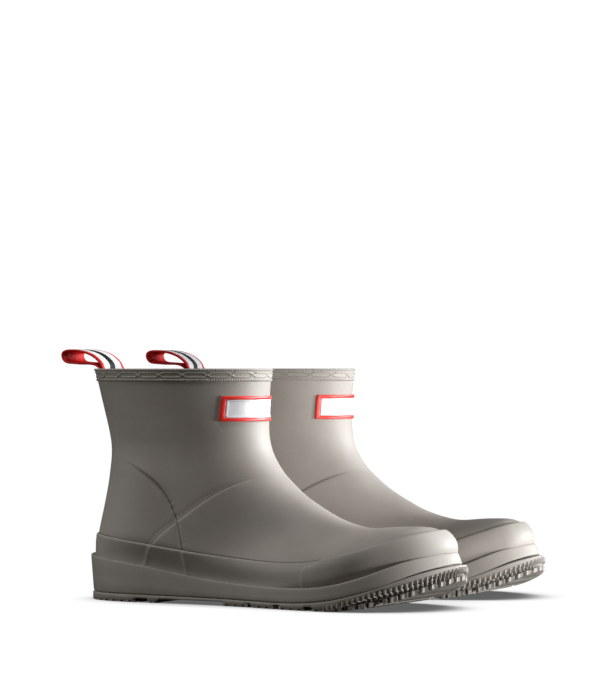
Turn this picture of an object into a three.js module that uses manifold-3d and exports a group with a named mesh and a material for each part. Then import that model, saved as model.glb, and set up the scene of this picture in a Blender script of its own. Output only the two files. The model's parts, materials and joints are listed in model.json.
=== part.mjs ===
// A pair of short rubber deck boots. Millimetres, +Z up, toes towards +X.
//
// Each boot is modelled once, as the right one, in its own frame: x runs from the heel (-139) to the
// toe (+136), y = 0 is the foot's long axis with the outer side at -y, and z = 0 is the ground. The left
// boot is its mirror image. The shaft and foot are one closed sock, lofted through a fan of sections
// that starts level at the rim, turns round the heel and ends upright at the toe.

import * as THREE from 'three';
import { mergeVertices } from 'three/addons/utils/BufferGeometryUtils.js';
import Module from 'manifold-3d';

const wasm = await Module();
wasm.setup();

// ---------- driving dimensions ----------

const RIM_HEIGHT = 160;
const BOOT_SPACING = 124;       // between the two long axes, at mid length
const STAGGER = 6;              // the left boot stands this much further forward
const TOE_OUT = THREE.MathUtils.degToRad(2.7);
const GAP = 0.3;                // between pieces that are bonded or sewn face to face
const WALL = 2.2;               // rubber of the shaft and foot
const LINING = 0.9;             // knitted textile inside it
const RAND = 1.5;               // foxing strip round the foot
const TOE_CAP = 2.3;
const OVERLAY = 0.8;            // moulded heel and vamp panels
const BAND_HEIGHT = 8.8;        // collar band below the rim
const BAND = 1.5;
const BADGE = { low: 125, high: 141.5, outer: -29, inner: 27, border: 2.1, frame: 1.6, plate: 1.0 };
const STRAP = { width: 28, thick: 1.8, sewn: 21 };
const PATCH = { width: 34, height: 24, thick: 0.8 };
const BOARD = 2.5;              // insole board
const FOOTBED = 4.5;
const LUG = 2.8;                // depth of the tread
const DATUM = 1.7;              // heights are drawn from this far below the tread's contact plane

const AROUND = 18;              // points round a section
const RINGS = 16;               // sections from the rim to the toe

// ---------- the sock: sections from the rim to the toe ----------

// front and back are the section's two ends in the middle plane, as [x, z]. outer and inner are how far
// it reaches to each side. widest is where it is widest, as a fraction of the way from back to front,
// and the exponents say how square its front (or top) and its back (or bottom) are.
const SECTIONS = [
  { front: [-9, 160], back: [-137, 160], outer: 46.3, inner: 46.3, widest: 0.5, top: 2.1, base: 2.1 },
  { front: [-10.5, 132], back: [-129.5, 130], outer: 42, inner: 42, widest: 0.5, top: 2.1, base: 2.1 },
  { front: [-8, 107], back: [-124.5, 102], outer: 38.5, inner: 38.5, widest: 0.5, top: 2.1, base: 2.1 },
  { front: [2, 89], back: [-127.5, 75], outer: 37, inner: 37, widest: 0.48, top: 2.1, base: 2.2 },
  { front: [16, 76], back: [-133.5, 48], outer: 36.5, inner: 36, widest: 0.46, top: 2.1, base: 2.4 },
  { front: [31, 67], back: [-134, 20], outer: 36, inner: 35, widest: 0.42, top: 2.1, base: 2.7 },
  { front: [46, 59.5], back: [-100, 9], outer: 36, inner: 34, widest: 0.38, top: 2.1, base: 3 },
  { front: [60, 55], back: [-45, 8.5], outer: 39, inner: 35, widest: 0.36, top: 2.1, base: 3 },
  { front: [73, 53], back: [10, 8.5], outer: 45, inner: 40, widest: 0.38, top: 2.1, base: 3 },
  { front: [87, 54.5], back: [60, 11.5], outer: 48, inner: 43, widest: 0.42, top: 2.2, base: 2.8 },
  { front: [102, 55.8], back: [92, 19.5], outer: 39, inner: 39, widest: 0.42, top: 2.3, base: 2.6 },
  { front: [115, 54.5], back: [112, 27], outer: 25, inner: 31, widest: 0.42, top: 2.3, base: 2.4 },
  { front: [124, 48], back: [122, 33], outer: 10, inner: 22, widest: 0.42, top: 2.2, base: 2.2 },
  { front: [126.5, 41], back: [126.5, 40], outer: -5, inner: 6, widest: 0.5, top: 2, base: 2 },
];

const through = (values, at) => {
  const curve = new THREE.CatmullRomCurve3(values.map((v, i) => new THREE.Vector3(i, v, 0)), false, 'centripetal');
  return curve.getPoint(at / (values.length - 1)).y;
};

function sectionAt(at) {
  const value = (pick) => through(SECTIONS.map(pick), at);
  return {
    front: new THREE.Vector2(value((s) => s.front[0]), value((s) => s.front[1])),
    back: new THREE.Vector2(value((s) => s.back[0]), value((s) => s.back[1])),
    outer: value((s) => s.outer), inner: value((s) => s.inner),
    widest: value((s) => s.widest), top: value((s) => s.top), base: value((s) => s.base),
  };
}

function ring(at) {
  const s = sectionAt(at);
  const span = s.front.clone().sub(s.back);
  const middle = (s.inner - s.outer) / 2;
  const half = (s.inner + s.outer) / 2;
  return Array.from({ length: AROUND }, (_, j) => {
    const turn = (2 * Math.PI * j) / AROUND;
    const up = Math.sin(turn);
    const side = Math.cos(turn);
    const square = 2 / (up > 0 ? s.top : s.base);
    const reach = Math.sign(up) * Math.abs(up) ** square * (up > 0 ? 1 - s.widest : s.widest);
    const point = s.back.clone().addScaledVector(span, s.widest + reach);
    return new THREE.Vector3(point.x, middle + Math.sign(side) * Math.abs(side) ** square * half, point.y);
  });
}

const sock = Array.from({ length: RINGS }, (_, i) => ring((SECTIONS.length - 1) * (i / (RINGS - 1))));

// The sock's surface moved outwards (or inwards, when negative) along its own normals.
function grown(distance) {
  return sock.map((points, i) => points.map((point, j) => {
    const before = sock[Math.max(i - 1, 0)][j];
    const after = sock[Math.min(i + 1, RINGS - 1)][j];
    const left = points[(j + 1) % AROUND];
    const right = points[(j + AROUND - 1) % AROUND];
    const normal = left.clone().sub(right).cross(after.clone().sub(before));
    if (i === 0) normal.z = 0;
    if (i === RINGS - 1) normal.set(1, 0, 0);
    return point.clone().addScaledVector(normal.normalize(), distance);
  }));
}

// ---------- solids ----------

function geometryOf(points, triangles) {
  const geometry = new THREE.BufferGeometry();
  geometry.setAttribute('position', new THREE.Float32BufferAttribute(points.flatMap((p) => [p.x, p.y, p.z]), 3));
  geometry.setIndex(triangles.flat());
  return geometry;
}

// Triangles between neighbouring rings, which are held one after another in one list of points.
function skin(rings, first, outwards) {
  const triangles = [];
  for (let i = 0; i < rings - 1; i++) {
    for (let j = 0; j < AROUND; j++) {
      const a = first + i * AROUND + j;
      const b = first + i * AROUND + ((j + 1) % AROUND);
      const quad = [[a, b, a + AROUND], [b, b + AROUND, a + AROUND]];
      triangles.push(...quad.map(([p, q, r]) => (outwards ? [p, q, r] : [r, q, p])));
    }
  }
  return triangles;
}

function fan(first, centre, outwards) {
  return Array.from({ length: AROUND }, (_, j) => {
    const next = first + ((j + 1) % AROUND);
    return outwards ? [first + j, next, centre] : [next, first + j, centre];
  });
}

const middleOf = (points) => points.reduce((sum, p) => sum.add(p), new THREE.Vector3()).divideScalar(points.length);

// A full body inside the sock's surface, raised above the rim so that it cuts cleanly there.
function filled(distance, raise = 0) {
  const rings = grown(distance);
  if (raise) rings.unshift(rings[0].map((p) => p.clone().setZ(RIM_HEIGHT + raise)));
  const points = rings.flat();
  const last = (rings.length - 1) * AROUND;
  points.push(middleOf(rings[0]), middleOf(rings.at(-1)));
  return solid(geometryOf(points, [
    ...skin(rings.length, 0, true), ...fan(last, points.length - 1, true), ...fan(0, points.length - 2, false),
  ]));
}

// A sock with a wall, open at the rim.
function shell(outside, inside) {
  const outer = grown(outside);
  const inner = grown(inside);
  const points = [...outer.flat(), ...inner.flat(), middleOf(outer.at(-1)), middleOf(inner.at(-1))];
  const size = RINGS * AROUND;
  const rim = [];
  for (let j = 0; j < AROUND; j++) {
    const next = (j + 1) % AROUND;
    rim.push([next, j, size + j], [size + next, next, size + j]);
  }
  return geometryOf(points, [
    ...skin(RINGS, 0, true), ...skin(RINGS, size, false), ...rim,
    ...fan(size - AROUND, points.length - 2, true), ...fan(2 * size - AROUND, points.length - 1, false),
  ]);
}

function solid(geometry) {
  const bare = geometry.clone();
  bare.deleteAttribute('normal');
  bare.deleteAttribute('uv');
  const merged = mergeVertices(bare, 1e-4);
  return new wasm.Manifold(new wasm.Mesh({
    numProp: 3,
    vertProperties: new Float32Array(merged.attributes.position.array),
    triVerts: new Uint32Array(merged.index.array),
  }));
}

function geometryFrom(manifold) {
  const mesh = manifold.getMesh();
  const geometry = new THREE.BufferGeometry();
  geometry.setAttribute('position', new THREE.BufferAttribute(mesh.vertProperties, 3));
  geometry.setIndex(new THREE.BufferAttribute(mesh.triVerts, 1));
  return geometry;
}

// A side view, as [x, z] points, carried right across the boot.
function sideView(points, from = -80, to = 80) {
  const shape = new THREE.Shape(points.map(([x, z]) => new THREE.Vector2(x, z)));
  const geometry = new THREE.ExtrudeGeometry(shape, { depth: to - from, bevelEnabled: false });
  return solid(geometry.rotateX(Math.PI / 2).translate(0, to, 0));
}

const smooth = (points, steps) => new THREE.SplineCurve(points.map(([x, z]) => new THREE.Vector2(x, z)))
  .getPoints(steps).map((p) => [p.x, p.y]);
const raised = (line, by) => line.map(([x, z]) => [x, z + by]);

// ---------- lines of the side view ----------

const LEDGE = smooth([[-142, 33], [-110, 29.5], [-75, 25], [-40, 19.5], [0, 16.2], [35, 15.7], [70, 19],
  [100, 28], [120, 35], [142, 40]], 14);
const PARTING = smooth([[-142, 7.5], [-60, 6.8], [0, 6.2], [40, 6.4], [75, 10.5], [105, 20], [125, 28], [142, 33]], 12);
const RAND_TOP = smooth([[-142, 48], [-105, 44.5], [-60, 39], [-10, 33.5], [40, 32], [70, 36.5], [100, 46],
  [122, 53], [142, 56]], 14);
const COUNTER_FRONT = smooth([[-142, 104], [-118, 103], [-92, 95], [-70, 80], [-60, 62], [-55, 38]], 9);
const VAMP_REAR = smooth([[-86, 30], [-79, 46], [-62, 60], [-38, 76], [-8, 91], [20, 95], [45, 93]], 10);
const CAP_REAR = [[41, 10], [44, 22], [53, 31], [66, 39]];
const SPRING = { start: 66, end: 134, rise: 18, power: 1.9 };   // how the toe lifts off the ground
const GROOVES = [[-90, -80], [-71, -19], [-1, 3], [23, 29], [49, 55], [75, 79], [98, 102]];

// ---------- plan of the sole ----------

const SOLE = [[-139.5, 0], [-132, -21], [-112, -33], [-80, -36], [-40, -36], [0, -41], [40, -50], [72, -52],
  [100, -44], [122, -27], [133.5, -8], [136.5, 7], [132.5, 21], [120, 35], [98, 44.5], [70, 47.5], [40, 43.5],
  [0, 34.5], [-40, 31], [-80, 33], [-112, 31.5], [-132, 20]];

// The sole's plan as an upright block. Its toe leans back and its heel leans out, going up.
function solePlan(inset, toeLean = 0, heelLean = 0) {
  const curve = new THREE.CatmullRomCurve3(SOLE.map(([x, y]) => new THREE.Vector3(x, y, 0)), true, 'centripetal');
  const points = curve.getSpacedPoints(48).slice(0, -1).map((point, i) => {
    const along = curve.getTangentAt(i / 48);
    return new THREE.Vector2(point.x - along.y * inset, point.y + along.x * inset);
  });
  const geometry = new THREE.ExtrudeGeometry(new THREE.Shape(points), { depth: 80, bevelEnabled: false });
  const { array } = geometry.attributes.position;
  for (let i = 0; i < array.length; i += 3) {
    const toe = THREE.MathUtils.smoothstep(array[i], 60, 136);
    const heel = THREE.MathUtils.smoothstep(-array[i], 90, 136);
    array[i] -= toeLean * toe * (array[i + 2] - 44) + heelLean * heel * (array[i + 2] - 26);
  }
  return solid(geometry.translate(0, 0, -20));
}

// ---------- pieces of one boot ----------

const between = (low, high) => above(low).intersect(below(high));
const SKY = [[190, 220], [-190, 220]];
const GROUND = [[190, -20], [-190, -20]];
const stretched = (line) => [[-190, line[0][1]], ...line, [190, line.at(-1)[1]]];
const above = (line) => sideView([...stretched(line), ...SKY]);
const below = (line) => sideView([...stretched(line), ...GROUND]);
const layer = (thick) => filled(GAP + thick).subtract(filled(GAP, 20));

const upper = () => shell(0, -WALL);
const lining = () => shell(-WALL - GAP, -WALL - GAP - LINING);

// Four rounded ribs round the outside of the rim, in one moulded band.
function collarBand() {
  const rib = BAND_HEIGHT / 4;
  const edge = [];
  for (let i = 0; i < 4; i++) {
    const top = RIM_HEIGHT - i * rib;
    edge.push([GAP + BAND * 0.55, top], [GAP + BAND, top - rib * 0.3], [GAP + BAND, top - rib * 0.7]);
  }
  edge.push([GAP + BAND * 0.55, RIM_HEIGHT - BAND_HEIGHT]);
  const profile = [...edge, [GAP, RIM_HEIGHT - BAND_HEIGHT], [GAP, RIM_HEIGHT]];
  const size = profile.length;
  const outside = grown(1)[0];
  const points = sock[0].flatMap((rim, j) => {
    const outwards = outside[j].clone().sub(rim);
    const down = sock[1][j].clone().sub(rim);
    return profile.map(([out, z]) => rim.clone()
      .addScaledVector(down, (z - RIM_HEIGHT) / down.z).addScaledVector(outwards, out));
  });
  const triangles = [];
  for (let j = 0; j < AROUND; j++) {
    for (let i = 0; i < size; i++) {
      const a = j * size + i;
      const b = j * size + ((i + 1) % size);
      const c = ((j + 1) % AROUND) * size + i;
      const d = ((j + 1) % AROUND) * size + ((i + 1) % size);
      triangles.push([a, c, b], [b, c, d]);
    }
  }
  return geometryOf(points, triangles);
}

const capFront = CAP_REAR.map(([x, z]) => [x + GAP, z]);
const behindCap = () => sideView([...CAP_REAR, [66, 220], [-190, 220], [-190, -20], [41, -20]]);
const aheadOfCap = () => sideView([...capFront, [66 + GAP, 220], [190, 220], [190, -20], [41 + GAP, -20]]);
const footBand = () => between(raised(LEDGE, GAP), RAND_TOP);
const rand = () => geometryFrom(layer(RAND).intersect(footBand()).intersect(behindCap()));
const toeCap = () => geometryFrom(layer(TOE_CAP).intersect(footBand()).intersect(aheadOfCap()));

const aboveRand = () => above(raised(RAND_TOP, GAP));
const counterArea = (grow) => sideView([...raised(COUNTER_FRONT, grow), [-55 + grow, -20], [-142, -20]]);
const heelCounter = () => geometryFrom(layer(OVERLAY).intersect(aboveRand()).intersect(counterArea(0)));
const vampArea = () => sideView([...VAMP_REAR, [190, 93], [190, -20], [-86, -20]]);
const vampPanel = () => geometryFrom(layer(OVERLAY).intersect(aboveRand()).intersect(vampArea())
  .subtract(counterArea(4 * GAP)));

const cavity = () => filled(-WALL - LINING - 2 * GAP);
const boardTop = raised(PARTING, 6.6 + BOARD);
const insoleBoard = () => geometryFrom(cavity().intersect(below(boardTop)));
const footbed = () => geometryFrom(cavity()
  .intersect(between(raised(boardTop, GAP), raised(boardTop, GAP + FOOTBED))));

const midsole = () => geometryFrom(solePlan(0.6, 0.4, 0.09)
  .intersect(between(PARTING, LEDGE)).subtract(filled(GAP)));

// The underside: a heel block in two lugs, a raised arch and a ribbed forefoot that springs up.
function outsole() {
  const ground = (x) => DATUM
    + SPRING.rise * (Math.max(x - SPRING.start, 0) / (SPRING.end - SPRING.start)) ** SPRING.power;
  const line = [[-190, DATUM + 3], [-134, DATUM]];
  for (const [from, to] of GROOVES) {
    line.push([from, ground(from)], [from + 0.5, ground(from) + LUG], [to - 0.5, ground(to) + LUG], [to, ground(to)]);
  }
  line.push([118, ground(118)], [SPRING.end, ground(SPRING.end)], [190, ground(SPRING.end) + 8]);
  const top = [[190, PARTING.at(-1)[1]], ...[...raised(PARTING, -GAP)].reverse(), [-190, PARTING[0][1] - GAP]];
  return geometryFrom(solePlan(0).intersect(sideView([...line, ...top])).subtract(filled(GAP)));
}

function block([x1, y1, z1], [x2, y2, z2]) {
  return solid(new THREE.BoxGeometry(x2 - x1, y2 - y1, z2 - z1)
    .translate((x1 + x2) / 2, (y1 + y2) / 2, (z1 + z2) / 2));
}

// The badge lies round the front of the shaft: a raised frame with a thinner plate inside it.
const badgeArea = (inset) => block([-60, BADGE.outer + inset, BADGE.low + inset],
  [20, BADGE.inner - inset, BADGE.high - inset]);
const badgeFrame = () => geometryFrom(layer(BADGE.frame)
  .intersect(badgeArea(0)).subtract(badgeArea(BADGE.border)));
const badgePlate = () => geometryFrom(layer(BADGE.plate).intersect(badgeArea(BADGE.border + GAP)));

// Inside the back of the rim: the strap's two sewn ends, and the patch that covers them.
const sewnDepth = WALL + LINING + 2 * GAP;
const backArea = (width, low, high) => block([-150, -width / 2, low], [-100, width / 2, high]);
const strapEnds = () => geometryFrom(filled(-sewnDepth).subtract(filled(-sewnDepth - STRAP.thick))
  .intersect(backArea(STRAP.width, RIM_HEIGHT - 1 - STRAP.sewn, RIM_HEIGHT - 1)));
const patchDepth = sewnDepth + STRAP.thick + GAP;
const strapPatch = () => geometryFrom(filled(-patchDepth).subtract(filled(-patchDepth - PATCH.thick))
  .intersect(backArea(PATCH.width, RIM_HEIGHT - 3 - PATCH.height, RIM_HEIGHT - 3)));

// The strap leaves the rim, leans back, turns over and comes down onto itself again, with a hole right
// through. It is made in two overlapping lengths, since its legs meet at the rim.
function strapLoop() {
  const spine = new THREE.SplineCurve([[-128.6, 161.4], [-133, 165], [-140, 168.5], [-147, 170.2], [-154.5, 171],
    [-160, 169.6], [-158, 166.6], [-153, 164.6], [-145, 164.2], [-137, 163.2], [-130.6, 161.4]]
    .map(([x, z]) => new THREE.Vector2(x, z)));
  const steps = 22;
  const length = (first, last) => {
    const sides = [1, -1].map((side) => Array.from({ length: last - first + 1 }, (_, i) => {
      const at = spine.getPoint((first + i) / steps);
      const along = spine.getTangent((first + i) / steps);
      const half = side * STRAP.thick / 2;
      return [at.x - along.y * half, at.y + along.x * half];
    }));
    return sideView([...sides[0], ...sides[1].reverse()], -STRAP.width / 2, STRAP.width / 2);
  };
  return geometryFrom(length(0, 12).add(length(11, steps)));
}

const PIECES = { upper, lining, collar_band: collarBand, rand, toe_cap: toeCap, heel_counter: heelCounter,
  vamp_panel: vampPanel, insole_board: insoleBoard, footbed, midsole, outsole, badge_frame: badgeFrame,
  badge_plate: badgePlate, strap_ends: strapEnds, strap_patch: strapPatch, pull_loop: strapLoop };

// ---------- colours ----------

const rubber = { color: 0x9f988f, roughness: 0.7, metalness: 0 };
const FINISH = {
  upper: rubber, collar_band: rubber, rand: rubber, toe_cap: rubber, heel_counter: rubber, vamp_panel: rubber,
  midsole: rubber, outsole: rubber,
  lining: { color: 0x3a3836, roughness: 0.95, metalness: 0 },
  insole_board: { color: 0x8a7a62, roughness: 0.9, metalness: 0 },
  footbed: { color: 0x4a4846, roughness: 0.95, metalness: 0 },
  badge_frame: { color: 0xc2182b, roughness: 0.45, metalness: 0 },
  badge_plate: { color: 0xdedede, roughness: 0.4, metalness: 0 },
  strap_ends: { color: 0xa01522, roughness: 0.9, metalness: 0 },
  strap_patch: { color: 0x3a3836, roughness: 0.9, metalness: 0 },
  pull_loop: { color: 0xa01522, roughness: 0.9, metalness: 0 },
};

function mirrored(geometry) {
  const copy = geometry.clone().scale(1, -1, 1);
  const index = copy.index.array;
  for (let i = 0; i < index.length; i += 3) [index[i], index[i + 1]] = [index[i + 1], index[i]];
  return copy;
}

const pair = new THREE.Group();
for (const [name, make] of Object.entries(PIECES)) {
  const geometry = make();
  for (const side of ['right', 'left']) {
    const lean = side === 'right' ? -1 : 1;
    const mesh = new THREE.Mesh(lean < 0 ? geometry : mirrored(geometry), new THREE.MeshStandardMaterial(FINISH[name]));
    mesh.name = `${side}_${name}`;
    mesh.position.set(lean * STAGGER / 2, lean * BOOT_SPACING / 2, -DATUM);
    mesh.rotation.z = lean * TOE_OUT;
    pair.add(mesh);
  }
}

// The origin is under the middle of the pair's box.
pair.updateMatrixWorld(true);
const box = new THREE.Box3().setFromObject(pair, true);
pair.position.x = -(box.min.x + box.max.x) / 2;
pair.position.y = -(box.min.y + box.max.y) / 2;
pair.position.z = -box.min.z;

export default pair;
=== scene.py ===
import bpy
import json
import math
import numpy as np
from mathutils import Matrix, Vector
from mathutils.bvhtree import BVHTree

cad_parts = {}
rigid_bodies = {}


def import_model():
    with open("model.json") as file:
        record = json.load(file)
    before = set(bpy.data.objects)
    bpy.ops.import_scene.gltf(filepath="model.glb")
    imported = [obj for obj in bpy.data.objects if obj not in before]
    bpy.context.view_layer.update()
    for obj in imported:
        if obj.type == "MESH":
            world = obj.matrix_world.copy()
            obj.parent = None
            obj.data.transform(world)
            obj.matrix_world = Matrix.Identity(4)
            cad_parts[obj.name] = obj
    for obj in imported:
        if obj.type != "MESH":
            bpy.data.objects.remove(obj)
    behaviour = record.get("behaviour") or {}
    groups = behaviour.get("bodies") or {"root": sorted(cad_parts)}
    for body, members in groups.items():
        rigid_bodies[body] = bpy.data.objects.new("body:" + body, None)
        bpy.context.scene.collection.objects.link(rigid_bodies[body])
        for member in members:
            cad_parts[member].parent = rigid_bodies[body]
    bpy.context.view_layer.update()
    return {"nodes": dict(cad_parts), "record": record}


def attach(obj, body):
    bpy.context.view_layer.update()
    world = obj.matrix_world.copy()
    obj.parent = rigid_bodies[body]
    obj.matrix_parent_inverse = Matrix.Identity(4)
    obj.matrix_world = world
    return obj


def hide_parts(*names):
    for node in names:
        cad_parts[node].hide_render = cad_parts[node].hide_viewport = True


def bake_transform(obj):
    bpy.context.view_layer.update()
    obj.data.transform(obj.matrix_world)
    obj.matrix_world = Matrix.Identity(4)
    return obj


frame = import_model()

bpy.ops.object.select_all(action="DESELECT")


# ---------- camera ----------
# A long portrait lens at the height of the rims, looking across the pair from the outer side of the
# right boot and 26 degrees round towards the toes.

azimuth, distance = math.radians(26), 2.25
aim = Vector((0.0002, -0.006, 0.1583))
bpy.ops.object.camera_add(
    location=aim + distance * Vector((math.sin(azimuth), -math.cos(azimuth), 0)),
    rotation=(math.radians(90.405), 0, azimuth))
camera = bpy.context.object
camera.name = "camera"
camera.data.sensor_fit = "VERTICAL"
camera.data.sensor_height = 36
camera.data.lens = 169.7
camera.data.clip_end = 50
bpy.context.scene.camera = camera


# ---------- moulded rubber upper ----------
# The shaft and foot are one skin of natural rubber on a knitted lining, dipped or laid up on a last and
# vulcanised. Its overlaid heel, quarter and vamp sheets show as soft raised edges along two seams.

# Millimetres in one boot's own frame: toes towards +x, the outer side at -y, z up. Sections from the
# rim to the toe: front x and z, back x and z, reach to the outer and the inner side, where along it
# is widest, and how square its front and its back are.
SECTIONS = np.array([
    (-9, 160, -137, 160, 46.3, 46.3, 0.5, 2.1, 2.1),
    (-10.5, 132, -129.5, 130, 42, 42, 0.5, 2.1, 2.1),
    (-8, 107, -124.5, 102, 38.5, 38.5, 0.5, 2.1, 2.1),
    (2, 89, -127.5, 75, 37, 37, 0.48, 2.1, 2.2),
    (16, 76, -133.5, 48, 36.5, 36, 0.46, 2.1, 2.4),
    (31, 67, -134, 20, 36, 35, 0.42, 2.1, 2.7),
    (46, 59.5, -100, 9, 36, 34, 0.38, 2.1, 3),
    (60, 55, -45, 8.5, 39, 35, 0.36, 2.1, 3),
    (73, 53, 10, 8.5, 45, 40, 0.38, 2.1, 3),
    (87, 54.5, 60, 11.5, 48, 43, 0.42, 2.2, 2.8),
    (102, 55.8, 92, 19.5, 39, 39, 0.42, 2.3, 2.6),
    (115, 54.5, 112, 27, 25, 31, 0.42, 2.3, 2.4),
    (124, 48, 122, 33, 10, 22, 0.42, 2.2, 2.2),
    (126.5, 41, 126.5, 40, -5, 6, 0.5, 2, 2),
    (122, 33, 124, 48, -22, -10, 0.42, 2.2, 2.2),      # past the tip, the one before turned over
])
TOE_TIP = len(SECTIONS) - 2
ROUND, ROWS = 281, 296          # points round the skin, and rows of them down its outside
RIM_ROWS, INSIDE_ROWS = 6, 40
WALL = 2.2
SHEET = 1.1                     # the overlaid sheets thicken the foot below the ankle
EDGE_CLEAR = 3.4                # from the sole's outline to the skin at the ledge
SEAM_STEP, GROOVE = 0.85, 1.8   # height of a sheet's edge, and width of the groove at its foot
# In metres from the boot's own origin: back to its heel mount, and up to the tread's underside.
HEEL_REST, TREAD_FLOOR = 0.110, 0.0017
HEEL_SEAM = [(-150, 103), (-115, 102), (-88, 93), (-66, 78), (-56, 60), (-51, 36), (-50, 20)]
VAMP_SEAM = [(-89, 10), (-83, 26), (-76, 41), (-59, 55), (-35, 71.5), (-5, 86.5), (22, 91), (47, 89)]
# In side view, the top of the sole and the top of the rand. In plan, the sole's outline.
LEDGE = [(-142, 33), (-110, 29.5), (-75, 25), (-40, 19.5), (0, 16.2), (35, 15.7), (70, 19), (100, 28),
         (120, 35), (142, 40)]
RAND_TOP = [(-142, 48), (-105, 44.5), (-60, 39), (-10, 33.5), (40, 32), (70, 36.5), (100, 46), (122, 53),
            (142, 56)]
SOLE = [(-139.5, 0), (-132, -21), (-112, -33), (-80, -36), (-40, -36), (0, -41), (40, -50), (72, -52),
        (100, -44), (122, -27), (133.5, -8), (136.5, 7), (132.5, 21), (120, 35), (98, 44.5), (70, 47.5),
        (40, 43.5), (0, 34.5), (-40, 31), (-80, 33), (-112, 31.5), (-132, 20)]


def spline(knots, values, at):
    """Natural cubic spline through values at knots, read at each place in at."""
    knots, values, at = (np.asarray(a, float) for a in (knots, values, at))
    gap, count = np.diff(knots), len(knots)
    slope = (np.diff(values, axis=0).T / gap).T
    system, right = np.eye(count), np.zeros_like(values)
    for i in range(1, count - 1):
        system[i, i - 1:i + 2] = gap[i - 1], 2 * (gap[i - 1] + gap[i]), gap[i]
        right[i] = 6 * (slope[i] - slope[i - 1])
    bend = np.linalg.solve(system, right)
    i = np.clip(np.searchsorted(knots, at) - 1, 0, count - 2)
    wide = (...,) + (None,) * (values.ndim - 1)
    before, after, span = (knots[i + 1] - at)[wide], (at - knots[i])[wide], gap[i][wide]
    return ((bend[i] * before ** 3 + bend[i + 1] * after ** 3) / (6 * span)
            + (values[i] / span - bend[i] * span / 6) * before
            + (values[i + 1] / span - bend[i + 1] * span / 6) * after)


def drawn(points, count):
    """A smooth open line through the points, in count evenly spaced steps."""
    points = np.asarray(points, float)
    knots = np.append(0, np.cumsum(np.linalg.norm(np.diff(points, axis=0), axis=1)))
    line = spline(knots, points, np.linspace(0, knots[-1], count * 4))
    run = np.append(0, np.cumsum(np.linalg.norm(np.diff(line, axis=0), axis=1)))
    even = np.linspace(0, run[-1], count)
    return np.stack([np.interp(even, run, line[:, k]) for k in range(line.shape[1])], axis=-1)


def level_of(line, x):
    """Height of a side-view line at x."""
    knots, values = zip(*line)
    return spline(knots, values, np.clip(x, knots[0], knots[-1]))


def step(value, low, high):
    """A smooth rise from 0 at low to 1 at high."""
    t = np.clip((value - low) / (high - low), 0, 1)
    return t * t * (3 - 2 * t)


def section_points(at, turn):
    """Points of the bare skin, at places along the sections and angles round them."""
    s = spline(range(len(SECTIONS)), SECTIONS, at)
    front, back = s[:, None, 0:2], s[:, None, 2:4]
    outer, inner, widest, top, base = (s[:, k, None] for k in range(4, 9))
    up, side = np.sin(turn)[None], np.cos(turn)[None]
    square = 2 / np.where(up > 0, top, base)
    along = widest + np.sign(up) * np.abs(up) ** square * np.where(up > 0, 1 - widest, widest)
    xz = back + along[..., None] * (front - back)
    y = (inner - outer) / 2 + np.sign(side) * np.abs(side) ** square * (inner + outer) / 2
    return np.stack([xz[..., 0], y, xz[..., 1]], axis=-1)


def sock(at, turn, out=0.0):
    """The boot's surface at those sections and angles round them, moved outwards along its normals."""
    at, turn = np.asarray(at, float), np.asarray(turn, float)
    ahead = section_points(np.minimum(at + 0.03, TOE_TIP + 1), turn)
    behind = section_points(np.maximum(at - 0.03, 0), turn)
    round_it = section_points(at, turn + 0.01) - section_points(at, turn - 0.01)
    normal = np.cross(round_it, ahead - behind)
    normal[at < 0.02, :, 2] = 0
    normal[at > TOE_TIP - 0.02] = (1, 0, 0)
    normal /= np.linalg.norm(normal, axis=-1, keepdims=True)
    points = section_points(at, turn)
    points[at > TOE_TIP - 0.001] = points[at > TOE_TIP - 0.001].mean(axis=1, keepdims=True)
    return points + normal * np.asarray(out)[..., None]


def beyond(line, points):
    """Signed distance in side view from a line to each point, above zero on the line's left."""
    x, z = points[..., 0].ravel(), points[..., 2].ravel()
    best = np.full(x.shape, 1e9)
    for (x1, z1), (x2, z2) in zip(line[:-1], line[1:]):
        dx, dz = x2 - x1, z2 - z1
        t = np.clip(((x - x1) * dx + (z - z1) * dz) / (dx * dx + dz * dz), 0, 1)
        away = np.hypot(x - x1 - t * dx, z - z1 - t * dz)
        signed = np.where(dx * (z - z1) - dz * (x - x1) > 0, away, -away)
        best = np.where(away < np.abs(best), signed, best)
    return best.reshape(points.shape[:-1])


def lofted(name, points, uv=None, marks=None):
    """A smooth skin through a grid of points, in millimetres, with doubles merged and faces outwards."""
    points = np.asarray(points, float)
    across = np.cross(points[1:, 1:] - points[:-1, :-1], points[1:, :-1] - points[:-1, 1:])
    middle = (points[1:, 1:] + points[:-1, :-1] + points[1:, :-1] + points[:-1, 1:]) / 4
    if np.sum(across * (middle - points.reshape(-1, 3).mean(axis=0))) < 0:
        points = points[:, ::-1]
        uv = None if uv is None else uv[:, ::-1]
        marks = {key: value[:, ::-1] for key, value in (marks or {}).items()}
    rows, cols = points.shape[:2]
    bpy.ops.mesh.primitive_grid_add(x_subdivisions=cols - 1, y_subdivisions=rows - 1)
    piece = bpy.context.object
    piece.name = name
    mesh = piece.data
    mesh.vertices.foreach_set("co", (points / 1000).ravel())
    if uv is not None:
        corner = np.empty(len(mesh.loops), dtype=np.int32)
        mesh.loops.foreach_get("vertex_index", corner)
        mesh.uv_layers.active.data.foreach_set("uv", np.asarray(uv, float).reshape(-1, 2)[corner].ravel())
    for key, value in (marks or {}).items():
        mark = mesh.attributes.new(key, "FLOAT", "POINT")
        mark.data.foreach_set("value", np.asarray(value, float).ravel())
    bpy.ops.object.mode_set(mode="EDIT")
    bpy.ops.mesh.select_all(action="SELECT")
    bpy.ops.mesh.remove_doubles(threshold=0.000004)
    bpy.ops.object.mode_set(mode="OBJECT")
    bpy.ops.object.shade_smooth()
    bpy.ops.object.select_all(action="DESELECT")
    return piece


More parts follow.
